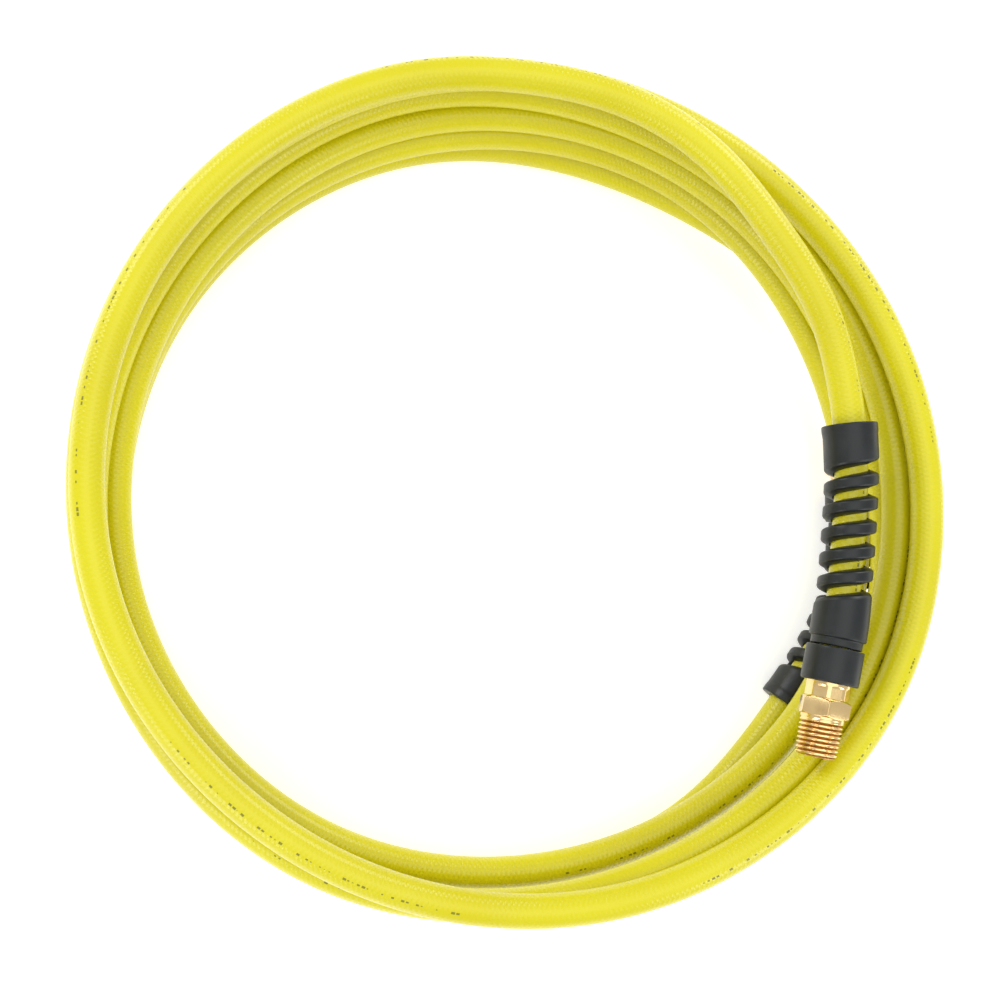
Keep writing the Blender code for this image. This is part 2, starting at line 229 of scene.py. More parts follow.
class Graph:
    """Adds nodes to a shader tree or a geometry tree and wires them."""

    def __init__(self, tree):
        self.tree = tree

    def node(self, kind, settings=None, inputs=None, output=0):
        """One node, by its type, its settings and the values or links of its sockets."""
        made = self.tree.nodes.new(kind)
        for name, value in (settings or {}).items():
            setattr(made, name, value)
        for name, value in (inputs or {}).items():
            self.feed(made.inputs[name], value)
        return Value(self, made.outputs[output])

    def feed(self, socket, value):
        if isinstance(value, Value):
            self.tree.links.new(value.socket, socket)
        else:
            socket.default_value = value

    def math(self, operation, *values):
        return self.node("ShaderNodeMath", {"operation": operation}, dict(enumerate(values)))

    def least(self, one, other):
        return self.math("MINIMUM", one, other)

    def most(self, one, other):
        return self.math("MAXIMUM", one, other)

    def smooth_step(self, value, start, end):
        """0 below start, 1 above end and a smooth rise between."""
        settings = {"interpolation_type": "SMOOTHSTEP", "clamp": True}
        inputs = {"Value": value, "From Min": start, "From Max": end, "To Min": 0.0, "To Max": 1.0}
        return self.node("ShaderNodeMapRange", settings, inputs)

    def wave(self, phase):
        """A ridge from 0 to 1 and back for each whole step of the phase."""
        return self.math("COSINE", phase * TURN) * 0.5 + 0.5

    def mix(self, factor, one, other):
        """One colour or another, by a factor from 0 to 1."""
        inputs = {0: factor, 6: self.colour(one), 7: self.colour(other)}
        return self.node("ShaderNodeMix", {"data_type": "RGBA"}, inputs, output=2)

    @staticmethod
    def colour(value):
        return value if isinstance(value, Value) else (*value[:3], 1.0)

    def split(self, vector):
        parts = self.tree.nodes.new("ShaderNodeSeparateXYZ")
        self.feed(parts.inputs[0], vector)
        return [Value(self, parts.outputs[k]) for k in range(3)]

    def join(self, x, y, z):
        return self.node("ShaderNodeCombineXYZ", None, {0: x, 1: y, 2: z})

    def noise(self, vector, scale, detail=2.0, roughness=0.5):
        inputs = {"Vector": vector, "Scale": scale, "Detail": detail, "Roughness": roughness}
        return self.node("ShaderNodeTexNoise", None, inputs)

    def random(self, number):
        """A number from 0 to 1 that belongs to each whole number."""
        return self.node("ShaderNodeTexWhiteNoise", {"noise_dimensions": "1D"}, {"W": number})


# ---------------------------------------------------------------- settings


def length_value(name, description, default):
    return bpy.props.FloatProperty(
        name=name, description=description, default=default, min=0.0, unit="LENGTH", precision=5
    )


def colour_value(name, description, default):
    return bpy.props.FloatVectorProperty(
        name=name, description=description, default=default, min=0.0, max=1.0, subtype="COLOR"
    )


def share_value(name, description, default):
    return bpy.props.FloatProperty(
        name=name, description=description, default=default, min=0.0, max=1.0, subtype="FACTOR"
    )


class HoseSettings(bpy.types.PropertyGroup):
    """Sizes and colours of the hose"""

    radius: length_value("Radius", "Outer radius of the hose", 5.15 * MM)
    ring_step: length_value("Ring step", "Distance between the rings of the hose's mesh", 2.0 * MM)
    sides: bpy.props.IntProperty(
        name="Sides", description="Points round the hose", default=28, min=8
    )
    first: length_value("First", "Where the hose shows, from each thread's tip", 36.6 * MM)
    yarns: bpy.props.IntProperty(
        name="Yarns", description="Yarns wound each way under the cover", default=12, min=4
    )
    yarn_lead: length_value("Yarn lead", "Length in which a yarn goes once round", 19.0 * MM)
    cover: colour_value("Cover", "Colour of the cover", (0.600, 0.552, 0.006))
    # a darker tone of the cover: random tone, and painted shade in the grooves between the yarns'
    # crossings
    cover_dark_and_groove_shade: colour_value("Deep cover", "Darker cover tone, also painted shade between the yarns", (0.545, 0.485, 0.003))
    print_ink: colour_value("Print", "Colour of the printed marks", (0.06, 0.055, 0.01))
    gloss: share_value("Roughness", "Roughness of the cover", 0.31)


class EndSettings(bpy.types.PropertyGroup):
    """Sizes and colours of the pieces on each end"""

    collar_radius: length_value("Collar radius", "Radius of the grip collar", 8.9 * MM)
    sleeve_radius: length_value("Sleeve radius", "Radius of the restrictor's sleeve", 8.8 * MM)
    neck_radius: length_value("Neck radius", "Radius between collar and sleeve", 7.9 * MM)
    strap_radius: length_value("Strap radius", "Radius over the helical strap", 8.35 * MM)
    cuff_radius: length_value("Cuff radius", "Radius of the restrictor's cuff", 8.45 * MM)
    lip_radius: length_value("Lip radius", "Radius of the cuff's lip", 8.65 * MM)
    strap_pitch: length_value("Strap pitch", "Lead of the helical strap", 7.4 * MM)
    thread_pitch: length_value("Thread pitch", "Pitch of the pipe thread", 25.4 / 18.0 * MM)
    thread_depth: length_value("Thread depth", "Depth of the pipe thread", 0.9 * MM)
    hexagon: length_value("Hexagon", "Across the hexagon's flats", 14.29 * MM)
    rubber: colour_value("Rubber", "Colour of the rubber", (0.0045, 0.0068, 0.0074))
    rubber_dust: colour_value("Dust", "Colour of the dusty rubber", (0.014, 0.017, 0.0185))
    brass: colour_value("Brass", "Colour of the cut brass", (0.86, 0.63, 0.30))
    # a darker, redder brass: random tarnish, and painted shade down in the thread's valleys
    brass_tarnish_and_thread_shade: colour_value("Deep brass", "Redder tarnish, also painted shade in the thread", (0.40, 0.19, 0.055))


class StageSettings(bpy.types.PropertyGroup):
    """The floor, the light and the camera"""

    floor: colour_value("Floor", "Colour of the floor", (0.92, 0.92, 0.92))
    floor_size: length_value("Floor size", "Side of the square floor", 6.0)
    sky: bpy.props.FloatProperty(
        name="Sky", description="Strength of the light from all round", default=0.68, min=0.0
    )
    lens: bpy.props.FloatProperty(
        name="Lens", description="Focal length of the camera", default=48.24, unit="CAMERA"
    )


# ---------------------------------------------------------------- meshes


def add_piece(name, mesh, material=None):
    piece = bpy.data.objects.new(name, mesh)
    bpy.context.scene.collection.objects.link(piece)
    if material:
        mesh.materials.clear()
        mesh.materials.append(material)
    return piece


def eased(profile, radius, steps=5):
    """A closed outline with each of its corners rounded off."""
    points = []
    count = len(profile)
    for i, corner in enumerate(profile):
        here = np.array(corner)
        to_before = np.array(profile[i - 1]) - here
        to_after = np.array(profile[(i + 1) % count]) - here
        room = min(np.linalg.norm(to_before), np.linalg.norm(to_after)) / 2
        to_before, to_after = (v / np.linalg.norm(v) for v in (to_before, to_after))
        cut = min(radius, 0.9 * room)
        start, end = here + to_before * cut, here + to_after * cut
        for t in np.linspace(0.0, 1.0, steps):
            points.append((1 - t) ** 2 * start + 2 * t * (1 - t) * here + t**2 * end)
    return points


def finely(profile, step):
    """A closed outline whose long sides are divided into steps."""
    points = []
    for one, other in zip(profile, [*profile[1:], profile[0]]):
        one, other = np.array(one), np.array(other)
        count = max(1, math.ceil(np.linalg.norm(other - one) / step))
        points += [one + (other - one) * i / count for i in range(count)]
    return points


def turned(name, profile, sides=96):
    """A closed profile of (radius, height) points turned round Z; a zero radius is a pole."""
    mesh = bpy.data.meshes.new(name)
    body = bmesh.new()
    rings = []
    for radius, height in profile:
        ring = []
        for angle in np.arange(sides) * TURN / sides:
            ring.append(body.verts.new((radius * math.cos(angle), radius * math.sin(angle), height)))
        rings.append(ring)
    for ring, after in zip(rings, [*rings[1:], rings[0]]):
        for i in range(sides):
            j = (i + 1) % sides
            body.faces.new((ring[i], ring[j], after[j], after[i]))
    bmesh.ops.remove_doubles(body, verts=body.verts, dist=0.001 * MM)
    bmesh.ops.recalc_face_normals(body, faces=body.faces)
    body.to_mesh(mesh)
    body.free()
    return add_piece(name, mesh)


def boolean(piece, other, operation):
    step = piece.modifiers.new(operation.title(), "BOOLEAN")
    step.operation, step.solver, step.object = operation, "EXACT", other


def settle(piece, helpers=()):
    """Make the piece a plain mesh with its modifiers applied, and remove the helper objects."""
    source = piece.evaluated_get(bpy.context.evaluated_depsgraph_get())
    mesh = bpy.data.meshes.new_from_object(source)
    for helper in helpers:
        bpy.data.objects.remove(helper)
    if piece.type == "MESH":
        piece.modifiers.clear()
        piece.data = mesh
        return piece
    name = piece.name
    bpy.data.objects.remove(piece)
    return add_piece(name, mesh)


def note_lay(piece):
    """Keep each point's drawn place on it: along the axis, sideways and up."""
    co = np.zeros(len(piece.data.vertices) * 3)
    piece.data.vertices.foreach_get("co", co)
    drawn = co.reshape(-1, 3)[:, [2, 0, 1]]
    layer = piece.data.attributes.new("lay", "FLOAT_VECTOR", "POINT")
    layer.data.foreach_set("vector", drawn.ravel())


def lay_along(piece, run):
    """Move a piece that is drawn along +Z onto an end's run."""
    co = np.zeros(len(piece.data.vertices) * 3)
    piece.data.vertices.foreach_get("co", co)
    x, y, z = co.reshape(-1, 3).T
    place, side, up, _ = run.frames(z)
    piece.data.vertices.foreach_set("co", (place + side * x[:, None] + up * y[:, None]).ravel())
    piece.data.update()


def finish_piece(piece, run, material, node):
    """Clean, lay, shade and dress an end's piece, and hand it to the frame."""
    body = bmesh.new()
    body.from_mesh(piece.data)
    bmesh.ops.remove_doubles(body, verts=body.verts, dist=0.002 * MM)
    bmesh.ops.dissolve_degenerate(body, edges=body.edges, dist=0.001 * MM)
    body.to_mesh(piece.data)
    body.free()
    note_lay(piece)
    lay_along(piece, run)
    piece.data.shade_smooth()
    piece.data.set_sharp_from_angle(angle=math.radians(32))
    piece.data.materials.clear()
    piece.data.materials.append(material)
    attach(piece, "root")
    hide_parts(node)
    return piece


# ---------------------------------------------------------------- geometry trees


def new_tree(name, numbers):
    """A geometry tree with named number inputs, its graph and its input values."""
    tree = bpy.data.node_groups.new(name, "GeometryNodeTree")
    tree.is_modifier = True
    tree.interface.new_socket("Geometry", in_out="INPUT", socket_type="NodeSocketGeometry")
    for label, kind in numbers.items():
        tree.interface.new_socket(label, in_out="INPUT", socket_type=f"NodeSocket{kind}")
    tree.interface.new_socket("Material", in_out="INPUT", socket_type="NodeSocketMaterial")
    tree.interface.new_socket("Geometry", in_out="OUTPUT", socket_type="NodeSocketGeometry")
    graph = Graph(tree)
    entry = tree.nodes.new("NodeGroupInput")
    values = {socket.name: Value(graph, socket) for socket in entry.outputs if socket.name}
    return tree, graph, values


def end_tree(graph, geometry, values):
    """Every tree ends in real geometry with its material set."""
    real = graph.node("GeometryNodeRealizeInstances", None, {"Geometry": geometry})
    smooth = graph.node("GeometryNodeSetShadeSmooth", None, {"Geometry": real})
    inputs = {"Geometry": smooth, "Material": values["Material"]}
    dressed = graph.node("GeometryNodeSetMaterial", None, inputs)
    result = graph.tree.nodes.new("NodeGroupOutput")
    graph.feed(result.inputs[0], dressed)


def use_tree(piece, tree, numbers, material):
    """Put a tree on a piece, with its inputs set by the sockets' identifiers."""
    modifier = piece.modifiers.new(tree.name, "NODES")
    modifier.node_group = tree
    given = {**numbers, "Material": material}
    for item in tree.interface.items_tree:
        if item.in_out == "INPUT" and item.name in given:
            modifier[item.identifier] = given[item.name]


def hose_tree():
    """A round tube along a curve; each point keeps its straightened place in "lay"."""
    numbers = {"Radius": "Float", "Step": "Float", "Sides": "Int"}
    tree, graph, values = new_tree("hose along a run", numbers)
    inputs = {"Curve": values["Geometry"], "Length": values["Step"]}
    line = graph.node("GeometryNodeResampleCurve", {"mode": "LENGTH"}, inputs)
    line = graph.node("GeometryNodeSetCurveNormal", {"mode": "Z_UP"}, {"Curve": line})
    along = graph.node("GeometryNodeSplineParameter", output="Length")
    line = graph.node(
        "GeometryNodeStoreNamedAttribute", {"data_type": "FLOAT", "domain": "POINT"},
        {"Geometry": line, "Name": "along", "Value": along},
    )
    inputs = {"Resolution": values["Sides"], "Radius": values["Radius"]}
    ring = graph.node("GeometryNodeCurvePrimitiveCircle", {"mode": "RADIUS"}, inputs)
    place = graph.node("GeometryNodeInputPosition")
    ring = graph.node(
        "GeometryNodeStoreNamedAttribute", {"data_type": "FLOAT_VECTOR", "domain": "POINT"},
        {"Geometry": ring, "Name": "ring", "Value": place},
    )
    inputs = {"Curve": line, "Profile Curve": ring, "Fill Caps": True}
    tube = graph.node("GeometryNodeCurveToMesh", None, inputs)
    length = graph.node(
        "GeometryNodeInputNamedAttribute", {"data_type": "FLOAT"}, {"Name": "along"}
    )
    across = graph.node(
        "GeometryNodeInputNamedAttribute", {"data_type": "FLOAT_VECTOR"}, {"Name": "ring"}
    )
    ring_x, ring_y, _ = graph.split(across)
    lay = graph.join(length, ring_y, ring_x)
    tube = graph.node(
        "GeometryNodeStoreNamedAttribute", {"data_type": "FLOAT_VECTOR", "domain": "POINT"},
        {"Geometry": tube, "Name": "lay", "Value": lay},
    )
    end_tree(graph, tube, values)
    return tree


def helix_tree():
    """A closed outline swept along a right-handed helix round Z, with closed ends."""
    numbers = {"Radius": "Float", "Pitch": "Float", "Turns": "Float", "Start": "Float"}
    numbers["Phase"] = "Float"
    tree, graph, values = new_tree("outline along a helix", numbers)
    height = values["Pitch"] * values["Turns"]
    inputs = {
        "Resolution": 64, "Rotations": values["Turns"], "Start Radius": values["Radius"],
        "End Radius": values["Radius"], "Height": height, "Reverse": True,
    }
    line = graph.node("GeometryNodeCurveSpiral", None, inputs)
    turn = graph.join(0.0, 0.0, values["Phase"])
    lift = graph.join(0.0, 0.0, values["Start"])
    inputs = {"Geometry": line, "Translation": lift, "Rotation": turn}
    line = graph.node("GeometryNodeTransform", None, inputs)
    line = graph.node("GeometryNodeSetCurveNormal", {"mode": "Z_UP"}, {"Curve": line})
    inputs = {"Curve": line, "Profile Curve": values["Geometry"], "Fill Caps": True}
    end_tree(graph, graph.node("GeometryNodeCurveToMesh", None, inputs), values)
    return tree


def shaped_rod_tree(name, numbers, shape):
    """A rod along +Z whose radius at each height and angle comes from a shape function."""
    numbers = {"Length": "Float", "Sides": "Int", "Rings": "Int", **numbers}
    tree, graph, values = new_tree(name, numbers)
    inputs = {
        "Vertices": values["Sides"], "Side Segments": values["Rings"], "Radius": 1.0,
        "Depth": values["Length"],
    }
    rod = graph.node("GeometryNodeMeshCylinder", {"fill_type": "TRIANGLE_FAN"}, inputs)
    x, y, z = graph.split(graph.node("GeometryNodeInputPosition"))
    height = z + values["Length"] * 0.5
    angle = graph.math("ARCTAN2", y, x)
    off_axis = (x * x + y * y) > 0.5
    radius = shape(graph, values, height, angle) * off_axis
    place = graph.join(
        radius * graph.math("COSINE", angle), radius * graph.math("SINE", angle), height
    )
    inputs = {"Geometry": rod, "Position": place}
    end_tree(graph, graph.node("GeometryNodeSetPosition", None, inputs), values)
    return tree


def thread_shape(graph, values, height, angle):
    """The radius over a right-handed taper thread, chamfered at its tip and fading at its end."""
    pitch, depth = values["Pitch"], values["Depth"]
    crest = values["Tip radius"] + height * values["Taper"]
    phase = (height / pitch - angle / TURN) % 1.0
    flank = abs(phase * 2.0 - 1.0)
    groove = graph.smooth_step(flank, 0.24, 1.08)
    run_out = 1.0 - graph.smooth_step(height, values["Thread end"] - pitch, values["Thread end"])
    cut = crest - depth * groove * run_out
    return graph.least(cut, height * 1.2 + (values["Tip radius"] - depth * 0.9))


def ferrule_shape(graph, values, height, angle):
    """The radius over a crimped ferrule: eight flats between thin ridges, and a round rim."""
    eighth = TURN / 8
    off = (angle - values["Turn"] + 2 * TURN) % eighth - eighth / 2
    flat = values["Corner"] * math.cos(eighth / 2) / graph.math("COSINE", off)
    ridge = graph.smooth_step(abs(off), eighth / 2 - 0.07, eighth / 2 - 0.02) * (0.03 * MM)
    crimped = graph.least(flat, values["Corner"] - 0.22 * MM) + ridge
    rim = graph.smooth_step(height, values["Rim"] - 0.5 * MM, values["Rim"] + 0.4 * MM)
    body = crimped * (1.0 - rim) + (values["Corner"] - 0.15 * MM) * rim
    return graph.least(body, height + (values["Corner"] - 0.35 * MM))


# ---------------------------------------------------------------- materials


def new_material(name, **constants):
    """A Principled material, its graph and its shader, with constants set on the sockets."""
    material = bpy.data.materials.new(name)
    material.use_nodes = True
    shader = material.node_tree.nodes["Principled BSDF"]
    for socket, value in constants.items():
        shader.inputs[socket.replace("_", " ")].default_value = value
    return material, Graph(material.node_tree), shader


def lay_parts(graph):
    """Along, sideways and up in the piece's straightened frame."""
    lay = graph.node("ShaderNodeAttribute", {"attribute_name": "lay"}, output="Vector")
    return [lay, *graph.split(lay)]


def bump(graph, shader, height, distance, strength=1.0):
    inputs = {"Height": height, "Distance": distance, "Strength": strength}
    graph.feed(shader.inputs["Normal"], graph.node("ShaderNodeBump", None, inputs))


PRINT_TURN = 0.45  # of a turn round the hose, from its inner side over its top
PRINT_STEP = 1.5 * MM  # from one printed tick to the next
PRINT_BATCH = 0.17  # m, from one row of ticks to the next
# Where the print swings up: the middle and half width along the hose in m, and the share of a turn
PRINT_SWINGS = ((0.25, 0.30, 0.08), (1.80, 0.34, 0.05))


def hose_cover(hose):
    """Glossy PVC: yarns showing through as fine crossing ridges, painted shade between their
    crossings, and a row of printed ticks.
    """
    material, graph, shader = new_material("hose_cover", Coat_Roughness=0.2, IOR=1.43)
    lay, along, side, up = lay_parts(graph)
    around = graph.math("ARCTAN2", up, side) / TURN
    steps = along * (hose.yarns / hose.yarn_lead)
    right = graph.wave(steps + around * float(hose.yarns))
    left = graph.wave(steps - around * float(hose.yarns))
    patches = graph.smooth_step(graph.noise(lay, 38.0), 0.35, 0.65)
    ply = graph.wave(along / (0.62 * MM)) * (0.06 + 0.12 * patches)
    grain = graph.noise(lay, 2600.0, 3.0)
    relief = right * left * (0.45 + 0.75 * patches) + (right + left) * 0.2 + ply + grain * 0.1
    bump(graph, shader, relief, 0.075 * MM)

    tone = graph.noise(lay, 14.0, 3.0)
    body = graph.mix(graph.smooth_step(tone, 0.3, 0.75), hose.cover, hose.cover_dark_and_groove_shade)
    # painted shade: the cover is darkened between the yarns' crossings, where the relief is low
    body = graph.mix((1.0 - right * left) * 0.14, body, hose.cover_dark_and_groove_shade)

    # the print lies on the outer side and swings up where the hose is twisted
    swing = 0.0
    for middle, width, rise in PRINT_SWINGS:
        swing = swing + (1.0 - graph.smooth_step(abs(along - middle), 0.0, width)) * rise
    row = PRINT_TURN - swing + (graph.noise(graph.join(along, 0.0, 0.0), 3.0, 1.0) - 0.5) * 0.04
    off = abs(around - row) * (TURN * hose.radius)
    cell = graph.math("FLOOR", along / PRINT_STEP)
    within = (along / PRINT_STEP) % 1.0
    chance = graph.random(cell)
    tick = (within < (chance * 0.6 + 0.2)) * (graph.random(cell + 0.5) > 0.5)
    batch = ((along / PRINT_BATCH) % 1.0) < 0.6
    ink = (off < chance * (0.28 * MM) + 0.12 * MM) * tick * batch
    graph.feed(shader.inputs["Base Color"], graph.mix(ink * 0.72, body, hose.print_ink))
    worn = graph.noise(lay, 120.0, 4.0)
    graph.feed(shader.inputs["Roughness"], hose.gloss + (worn - 0.5) * 0.14 + ink * 0.2)
    graph.feed(shader.inputs["Coat Weight"], 0.04 + patches * 0.16)
    return material


def black_rubber(end):
    """Moulded rubber: satin grain, a mould's parting line and a little dust."""
    material, graph, shader = new_material("black_rubber", IOR=1.45)
    lay, along, side, up = lay_parts(graph)
    parting = graph.smooth_step(abs(up), 0.0, 0.12 * MM)
    grain = graph.noise(lay, 3200.0, 4.0, 0.6)
    flow = graph.noise(graph.join(along * 0.2, side, up), 260.0, 3.0)
    bump(graph, shader, grain * 0.35 + flow * 0.5 - parting * 0.6, 0.05 * MM)
    dust = graph.smooth_step(graph.noise(lay, 90.0, 4.0, 0.6), 0.45, 0.8) * 0.5
    graph.feed(shader.inputs["Base Color"], graph.mix(dust, end.rubber, end.rubber_dust))
    graph.feed(shader.inputs["Roughness"], 0.40 + dust * 0.25 + (flow - 0.5) * 0.2)
    return material


CUT_THREAD = 11.6 * MM  # how far from its tip the thread's valleys are rougher and redder, and darkened with painted shade


def cut_brass(end):
    """Machined brass: rings left by the tool, redder and rougher down in the thread, where painted
    shade darkens the valleys.
    """
    material, graph, shader = new_material("cut_brass", Metallic=1.0)
    lay, along, side, up = lay_parts(graph)
    radius = graph.math("SQRT", side * side + up * up)
    crest = TIP_RADIUS + along * TAPER
    threaded = along < CUT_THREAD
    # painted shade: the thread's valleys are darkened towards the deep brass, which also gives them
    # a redder tone
    sunk_shade = graph.smooth_step(crest - radius, 0.22 * MM, 0.85 * MM) * threaded
    rings = graph.noise(graph.join(along, 0.0, 0.0), 5200.0, 2.0)
    scuff = graph.noise(lay, 420.0, 4.0, 0.6)
    tarnish = graph.smooth_step(graph.noise(lay, 150.0, 3.0), 0.45, 0.8) * 0.25
    body = graph.mix(graph.most(sunk_shade * 0.85, tarnish), end.brass, end.brass_tarnish_and_thread_shade)
    graph.feed(shader.inputs["Base Color"], body)
    rough = 0.20 + sunk_shade * 0.18 + (rings - 0.5) * 0.12 + (scuff - 0.5) * 0.2
    graph.feed(shader.inputs["Roughness"], rough)
    bump(graph, shader, rings * 0.6 + scuff * 0.4, 0.012 * MM)
    return material


def braid_yarn():
    """White polyester yarn, wound both ways."""
    material, graph, shader = new_material("braid_yarn", Roughness=0.85)
    place = graph.node("ShaderNodeTexCoord", output="Object")
    x, y, z = graph.split(place)
    weave = graph.wave((x + y) / (1.1 * MM)) * graph.wave((x - y + z) / (1.1 * MM))
    fibres = graph.noise(place, 2400.0, 3.0)
    colour = graph.mix(weave * 0.5 + fibres * 0.3, (0.62, 0.61, 0.56), (0.86, 0.86, 0.82))
    graph.feed(shader.inputs["Base Color"], colour)
    bump(graph, shader, weave + fibres * 0.3, 0.08 * MM)
    return material


def plain_wall(name, light, dark, roughness):
    """A hose wall's cut rubber: mottled and slightly grainy."""
    material, graph, shader = new_material(name)
    place = graph.node("ShaderNodeTexCoord", output="Object")
    mottle = graph.noise(place, 300.0, 4.0, 0.6)
    graph.feed(shader.inputs["Base Color"], graph.mix(mottle, light, dark))
    graph.feed(shader.inputs["Roughness"], roughness + (mottle - 0.5) * 0.2)
    bump(graph, shader, graph.noise(place, 2500.0, 3.0), 0.03 * MM)
    return material


def pale_floor(stage):
    material, graph, shader = new_material(
        "pale_floor", Roughness=0.9, Emission_Color=(1.0, 1.0, 1.0, 1.0), Emission_Strength=0.42
    )
    place = graph.node("ShaderNodeTexCoord", output="Object")
    shade = graph.noise(place, 3.0, 2.0) * 0.02
    darker = [c * 0.97 for c in stage.floor]
    graph.feed(shader.inputs["Base Color"], graph.mix(shade, stage.floor, darker))
    return material


MATERIALS = {}


def material(name):
    """The named material, made the first time that it is asked for."""
    if name not in MATERIALS:
        scene = bpy.context.scene
        makers = {
            "hose_cover": lambda: hose_cover(scene.air_hose),
            "black_rubber": lambda: black_rubber(scene.air_hose_ends),
            "cut_brass": lambda: cut_brass(scene.air_hose_ends),
            "braid_yarn": braid_yarn,
            "liner_wall": lambda: plain_wall("liner_wall", (0.03,) * 3, (0.06,) * 3, 0.5),
            "cover_wall": lambda: plain_wall(
                "cover_wall", scene.air_hose.cover, scene.air_hose.cover_dark_and_groove_shade, 0.45
            ),
            "pale_floor": lambda: pale_floor(scene.air_hose_stage),
        }
        MATERIALS[name] = makers[name]()
    return MATERIALS[name]


# ---------------------------------------------------------------- operators

# Stations along an end, from its thread's tip
THREAD_END = 12.3 * MM
THREAD_FADE = 11.7 * MM  # where the thread has run out
HEX_END = 17.8 * MM
COLLAR_START = 22.8 * MM
COLLAR_END = 33.7 * MM
RESTRICTOR_START = 34.0 * MM
GROOVE_END = 36.6 * MM
RESTRICTOR_END = 103.5 * MM
GAP = 0.3 * MM
FERRULE_CORNER = 6.95 * MM
RIM_BEFORE_COLLAR = 1.1 * MM  # how much of the ferrule's round rim shows
FERRULE_TURN = math.radians(70.5)  # where one of the ferrule's eight corners is
HEX_TURN = math.radians(-13)
BORE = 2.4 * MM
BORE_MOUTH = 3.6 * MM
STEM_ROOT = 4.6 * MM
STEM_RADIUS = 2.95 * MM
STEM_END = 34.5 * MM
STEM_OVERLAP = 0.4 * MM  # how far the turned pieces of a fitting run into each other
STRAP_PHASES = {"upper": 53.0, "lower": 71.0}  # degrees, where the strap crosses STRAP_FIRST
STRAP_FIRST = 47.5 * MM
SLOT_LEAD = 143.0  # degrees that the slot starts before the strap's phase
SLOT_TURNS = 5.86


class AIRHOSE_OT_add_fittings(bpy.types.Operator):
    """Add the machined brass fitting of each end"""

    bl_idname = "air_hose.add_fittings"
    bl_label = "Add Fittings"

    def hexagon(self, name, across):
        """A hexagon with chamfered corners and slightly broken edges."""
        mesh = bpy.data.meshes.new(name)
        body = bmesh.new()
        corner = across / math.sqrt(3.0)
        lift = Matrix.Translation((0.0, 0.0, (HEX_END + THREAD_END) / 2))
        bmesh.ops.create_cone(
            body, cap_ends=True, segments=6, radius1=corner, radius2=corner,
            depth=HEX_END - THREAD_END, matrix=lift @ Matrix.Rotation(HEX_TURN, 4, "Z"),
        )
        body.to_mesh(mesh)
        body.free()
        nut = add_piece(name, mesh)
        flat, drop = across / 2, 0.75 * MM
        profile = [
            (0.0, THREAD_END), (flat * 0.985, THREAD_END), (corner * 1.01, THREAD_END + drop),
            (corner * 1.01, HEX_END - drop), (flat * 0.985, HEX_END), (0.0, HEX_END),
        ]
        chamfers = turned(f"{name}_chamfers", profile, 144)
        boolean(nut, chamfers, "INTERSECT")
        edge = nut.modifiers.new("Broken edges", "BEVEL")
        edge.width, edge.segments, edge.limit_method = 0.3 * MM, 3, "ANGLE"
        edge.angle_limit = math.radians(25)
        return settle(nut, [chamfers])

    def execute(self, context):
        end = context.scene.air_hose_ends
        numbers = {name: "Float" for name in (
            "Pitch", "Depth", "Taper", "Tip radius", "Thread end"
        )}
        tree = shaped_rod_tree("taper thread", numbers, thread_shape)
        for name in ENDS:
            mesh = bpy.data.meshes.new(name)
            fitting = add_piece(f"{name}_fitting_body", mesh)
            use_tree(fitting, tree, {
                "Length": THREAD_END + STEM_OVERLAP, "Sides": 120, "Rings": 150,
                "Pitch": end.thread_pitch, "Depth": end.thread_depth, "Taper": TAPER,
                "Tip radius": TIP_RADIUS, "Thread end": THREAD_FADE,
            }, material("cut_brass"))
            settle(fitting)
            nut = self.hexagon(f"{name}_nut", end.hexagon)
            stem = turned(f"{name}_stem", [
                (0.0, HEX_END - STEM_OVERLAP), (STEM_ROOT, HEX_END - STEM_OVERLAP),
                (STEM_ROOT, HEX_END + 0.2 * MM), (STEM_RADIUS, HEX_END + 0.2 * MM),
                (STEM_RADIUS, STEM_END), (0.0, STEM_END),
            ], 48)
            bore = turned(f"{name}_bore", [
                (0.0, -0.5 * MM), (BORE_MOUTH, -0.5 * MM), (BORE, 0.7 * MM),
                (BORE, STEM_END + 0.5 * MM), (0.0, STEM_END + 0.5 * MM),
            ], 48)
            boolean(fitting, nut, "UNION")
            boolean(fitting, stem, "UNION")
            boolean(fitting, bore, "DIFFERENCE")
            settle(fitting, [nut, stem, bore])
            node = f"{name}_threaded_fitting"
            finish_piece(fitting, RUNS[name], material("cut_brass"), node)
        return {"FINISHED"}


class AIRHOSE_OT_add_ferrules(bpy.types.Operator):
    """Add the crimped brass ferrule of each end"""

    bl_idname = "air_hose.add_ferrules"
    bl_label = "Add Ferrules"

    def execute(self, context):
        numbers = {name: "Float" for name in ("Turn", "Corner", "Rim")}
        tree = shaped_rod_tree("crimped ferrule", numbers, ferrule_shape)
        first = HEX_END + GAP
        for name in ENDS:
            mesh = bpy.data.meshes.new(name)
            ferrule = add_piece(f"{name}_ferrule_body", mesh)
            use_tree(ferrule, tree, {
                "Length": COLLAR_END - first, "Sides": 256, "Rings": 110,
                "Turn": FERRULE_TURN, "Corner": FERRULE_CORNER,
                "Rim": COLLAR_START - first - RIM_BEFORE_COLLAR,
            }, material("cut_brass"))
            settle(ferrule)
            bore = context.scene.air_hose.radius + GAP
            hole = turned(f"{name}_hole", [
                (0.0, -MM), (bore, -MM), (bore, COLLAR_END), (0.0, COLLAR_END)
            ], 64)
            boolean(ferrule, hole, "DIFFERENCE")
            settle(ferrule, [hole])
            for vertex in ferrule.data.vertices:
                vertex.co.z += first
            node = f"{name}_crimp_ferrule"
            finish_piece(ferrule, RUNS[name], material("cut_brass"), node)
        return {"FINISHED"}


